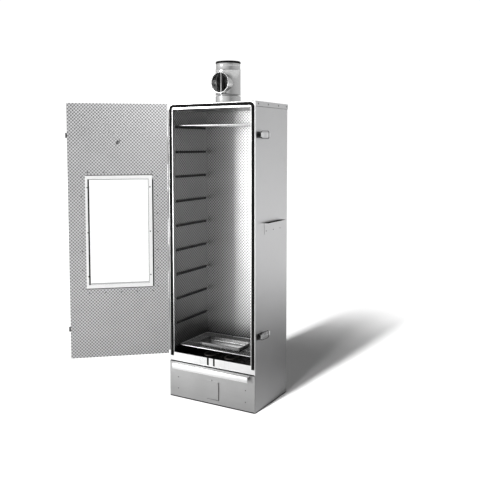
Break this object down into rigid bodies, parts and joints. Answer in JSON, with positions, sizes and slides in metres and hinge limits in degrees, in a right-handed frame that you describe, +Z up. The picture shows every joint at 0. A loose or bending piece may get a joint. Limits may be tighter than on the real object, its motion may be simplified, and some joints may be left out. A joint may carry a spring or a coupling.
{
  "type": "electric cabinet smoker",
  "caption": "Tall insulated steel cabinet smoker with a windowed side-hung door, shelf rails, wire racks, a chip drawer with an air inlet, toggle latches and a damped flue tee on top.",
  "frame": {"origin": "centre of the cabinet's underside, on the floor", "axes": "+Z up, the door and the drawer face -Y, +X to the right as seen from the front"},
  "size_m": [0.9203, 0.7002, 1.712],
  "materials": {
    "sheet_steel": "satin stainless sheet with a fine grain",
    "rail_steel": "satin stainless angle",
    "embossed_steel": "stucco-embossed stainless sheet, semi-bright",
    "duct_steel": "bright rolled duct steel",
    "bright_wire": "polished",
    "black_steel": "black satin",
    "dial_case": "satin dial case",
    "seal": "matt black silicone",
    "wool": "mineral wool, hidden",
    "window": "clear tempered glass",
    "element_sheath": "dark oxidised sheath",
    "inlet_plastic": "black moulding"
  },
  "bodies": {
    "cabinet": {"outer_shell": "sheet_steel", "top_cover": "sheet_steel", "base_plate": "sheet_steel", "inner_liner": "embossed_steel", "front_frame": "sheet_steel", "cabinet_insulation": "wool", "door_gasket": "seal", "rail_left_1": "rail_steel", "rail_left_2": "rail_steel", "rail_left_3": "rail_steel", "rail_left_4": "rail_steel", "rail_left_5": "rail_steel", "rail_left_6": "rail_steel", "rail_left_7": "rail_steel", "rail_left_8": "rail_steel", "rail_left_9": "rail_steel", "rail_left_10": "rail_steel", "rail_right_1": "rail_steel", "rail_right_2": "rail_steel", "rail_right_3": "rail_steel", "rail_right_4": "rail_steel", "rail_right_5": "rail_steel", "rail_right_6": "rail_steel", "rail_right_7": "rail_steel", "rail_right_8": "rail_steel", "rail_right_9": "rail_steel", "rail_right_10": "rail_steel", "flue_flange": "duct_steel", "flue_tee": "duct_steel", "flue_seal": "seal", "side_handle_left": "sheet_steel", "side_handle_right": "sheet_steel", "hinge_leaf_cabinet": "sheet_steel", "heating_element": "element_sheath", "power_inlet": "inlet_plastic", "latch_base_upper": "black_steel", "latch_base_lower": "black_steel"},
    "door": {"door_skin": "sheet_steel", "door_liner": "embossed_steel", "door_insulation": "wool", "window_glass": "window", "window_frame_inner": "sheet_steel", "window_frame_outer": "sheet_steel", "thermometer": "dial_case", "thermometer_wing_nut": "black_steel", "hinge_leaf_door": "sheet_steel", "keeper_upper": "black_steel", "keeper_lower": "black_steel"},
    "drawer": {"drawer_front": "sheet_steel", "drawer_box": "sheet_steel", "chip_pan": "black_steel"},
    "vent": {"vent_cover": "sheet_steel"},
    "upper_rack": {"rack_top": "bright_wire"},
    "lower_rack": {"rack_bottom": "bright_wire"},
    "tray": {"drip_tray": "sheet_steel"},
    "damper": {"damper_blade": "duct_steel"},
    "upper_lever": {"latch_lever_upper": "bright_wire"},
    "upper_bail": {"latch_bail_upper": "black_steel"},
    "lower_lever": {"latch_lever_lower": "bright_wire"},
    "lower_bail": {"latch_bail_lower": "black_steel"}
  },
  "joints": [
    {"name": "door_swing", "type": "hinge", "parent": "cabinet", "child": "door", "pos_m": [-0.2525, -0.1732, 0.8615], "axis": [0, 0, -1], "range_deg": [-139, 36]},
    {"name": "drawer_pull_out", "type": "slide", "parent": "cabinet", "child": "drawer", "axis": [0, -1, 0], "range_m": [0, 0.26]},
    {"name": "vent_turn", "type": "hinge", "parent": "drawer", "child": "vent", "pos_m": [0.038, -0.174, 0.112], "axis": [0, -1, 0], "range_deg": [0, 90]},
    {"name": "upper_rack_slide", "type": "slide", "parent": "cabinet", "child": "upper_rack", "axis": [0, -1, 0], "range_m": [0, 0.2]},
    {"name": "lower_rack_slide", "type": "slide", "parent": "cabinet", "child": "lower_rack", "axis": [0, -1, 0], "range_m": [0, 0.2]},
    {"name": "tray_lift", "type": "slide", "parent": "lower_rack", "child": "tray", "axis": [0, 0, 1], "range_m": [0, 0.05]},
    {"name": "damper_turn", "type": "hinge", "parent": "cabinet", "child": "damper", "pos_m": [0, -0.07, 1.603], "axis": [0, 0, 1], "range_deg": [0, 90]},
    {"name": "upper_lever_swing", "type": "hinge", "parent": "cabinet", "child": "upper_lever", "pos_m": [0.262, -0.138, 1.342], "axis": [0, 0, -1], "range_deg": [0, 110]},
    {"name": "upper_bail_swing", "type": "hinge", "parent": "upper_lever", "child": "upper_bail", "pos_m": [0.262, -0.13, 1.342], "axis": [0, 0, 1], "range_deg": [-186, 0]},
    {"name": "lower_lever_swing", "type": "hinge", "parent": "cabinet", "child": "lower_lever", "pos_m": [0.262, -0.138, 0.372], "axis": [0, 0, -1], "range_deg": [0, 110]},
    {"name": "lower_bail_swing", "type": "hinge", "parent": "lower_lever", "child": "lower_bail", "pos_m": [0.262, -0.13, 0.372], "axis": [0, 0, 1], "range_deg": [-186, 0]}
  ]
}
